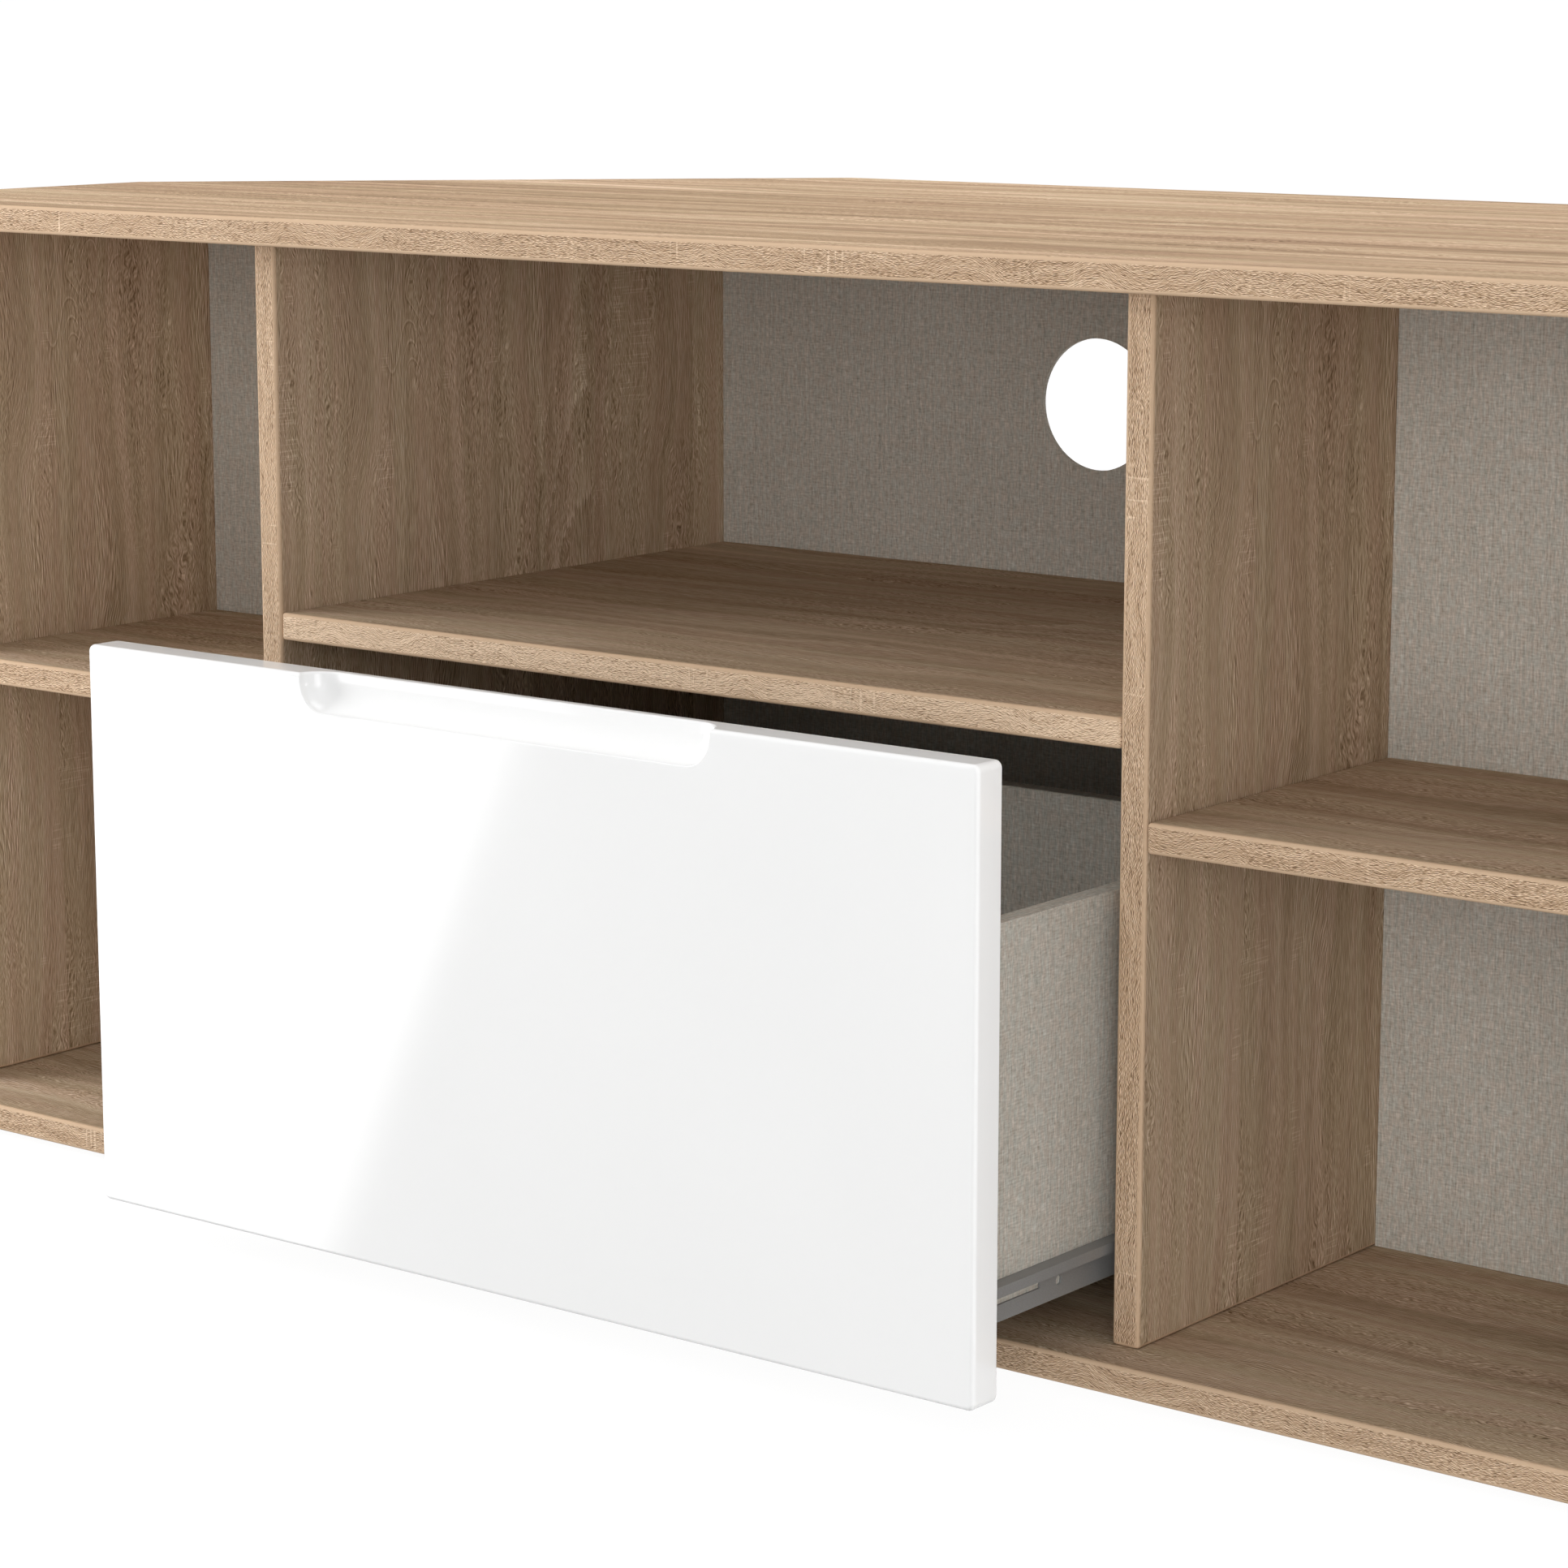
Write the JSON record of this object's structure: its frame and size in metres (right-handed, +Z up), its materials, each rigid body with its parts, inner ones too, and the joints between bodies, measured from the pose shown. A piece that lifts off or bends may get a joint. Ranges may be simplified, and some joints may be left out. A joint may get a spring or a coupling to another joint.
{
  "type": "media cabinet",
  "caption": "Corner media cabinet in light oak print, with an open niche, a cable hole, shelved side bays and a white gloss drawer on roller runners, shown part way open.",
  "frame": {"origin": "centre of the whole object's box at floor level, with the drawer at its stored opening", "axes": "+X to the right as seen from the front, +Y from the front to the back, +Z up"},
  "size_m": [1.26, 0.691, 0.573],
  "materials": {
    "oak": "light oak print on melamine board, satin, with eased banded edges",
    "linen": "board with a grey-beige linen print, satin",
    "gloss": "white high-gloss lacquer",
    "rail": "grey powder-coated sheet steel",
    "nylon": "off-white moulded plastic",
    "steel": "zinc-plated steel",
    "zinc": "die-cast zinc",
    "beech": "plain beech",
    "glide": "dark brown moulded plastic"
  },
  "bodies": {
    "root": {"top_panel": "oak", "bottom_panel": "oak", "left_end_panel": "oak", "right_end_panel": "oak", "left_divider": "oak", "right_divider": "oak", "centre_shelf": "oak", "left_shelf": "oak", "right_shelf": "oak", "centre_back": "linen", "left_back": "linen", "right_back": "linen", "centre_shelf_dowel_1": "beech", "centre_shelf_dowel_2": "beech", "centre_shelf_dowel_3": "beech", "centre_shelf_dowel_4": "beech", "left_shelf_dowel_1": "beech", "left_shelf_dowel_2": "beech", "left_shelf_dowel_3": "beech", "left_shelf_dowel_4": "beech", "right_shelf_dowel_1": "beech", "right_shelf_dowel_2": "beech", "right_shelf_dowel_3": "beech", "right_shelf_dowel_4": "beech", "left_end_front_glide": "glide", "left_end_rear_glide": "glide", "left_divider_rear_glide": "glide", "right_end_front_glide": "glide", "right_end_rear_glide": "glide", "right_divider_rear_glide": "glide", "left_cabinet_rail": "rail", "right_cabinet_rail": "rail", "left_front_axle": "steel", "right_front_axle": "steel", "left_cabinet_rail_front_screw": "steel", "left_cabinet_rail_rear_screw": "steel", "right_cabinet_rail_front_screw": "steel", "right_cabinet_rail_rear_screw": "steel"},
    "drawer": {"drawer_front": "gloss", "drawer_left_side": "linen", "drawer_right_side": "linen", "drawer_back": "linen", "drawer_bottom": "linen", "left_drawer_rail": "rail", "right_drawer_rail": "rail", "left_rear_axle": "steel", "right_rear_axle": "steel", "left_drawer_rail_front_screw": "steel", "left_drawer_rail_rear_screw": "steel", "right_drawer_rail_front_screw": "steel", "right_drawer_rail_rear_screw": "steel", "left_lower_cam": "zinc", "left_upper_cam": "zinc", "right_lower_cam": "zinc", "right_upper_cam": "zinc"},
    "left_front_roller": {"left_front_roller": "nylon"},
    "left_rear_roller": {"left_rear_roller": "nylon"},
    "right_front_roller": {"right_front_roller": "nylon"},
    "right_rear_roller": {"right_rear_roller": "nylon"}
  },
  "joints": [
    {"name": "drawer_slide", "type": "slide", "parent": "root", "child": "drawer", "axis": [0, -1, 0], "range_m": [-0.1175, 0.1375]},
    {"name": "left_front_roller_turn", "type": "hinge", "parent": "root", "child": "left_front_roller", "pos_m": [-0.28235, -0.1765, 0.0626], "axis": [1, 0, 0], "range_deg": [-760, 890]},
    {"name": "left_rear_roller_turn", "type": "hinge", "parent": "drawer", "child": "left_rear_roller", "pos_m": [-0.28235, 0.011, 0.0626], "axis": [1, 0, 0], "range_deg": [-760, 890]},
    {"name": "right_front_roller_turn", "type": "hinge", "parent": "root", "child": "right_front_roller", "pos_m": [0.28235, -0.1765, 0.0626], "axis": [1, 0, 0], "range_deg": [-760, 890]},
    {"name": "right_rear_roller_turn", "type": "hinge", "parent": "drawer", "child": "right_rear_roller", "pos_m": [0.28235, 0.011, 0.0626], "axis": [1, 0, 0], "range_deg": [-760, 890]}
  ],
  "couplings": [
    {"joint": "left_front_roller_turn", "follows": "drawer_slide", "rad_per_m": 111.11},
    {"joint": "left_rear_roller_turn", "follows": "drawer_slide", "rad_per_m": 111.11},
    {"joint": "right_front_roller_turn", "follows": "drawer_slide", "rad_per_m": 111.11},
    {"joint": "right_rear_roller_turn", "follows": "drawer_slide", "rad_per_m": 111.11}
  ]
}
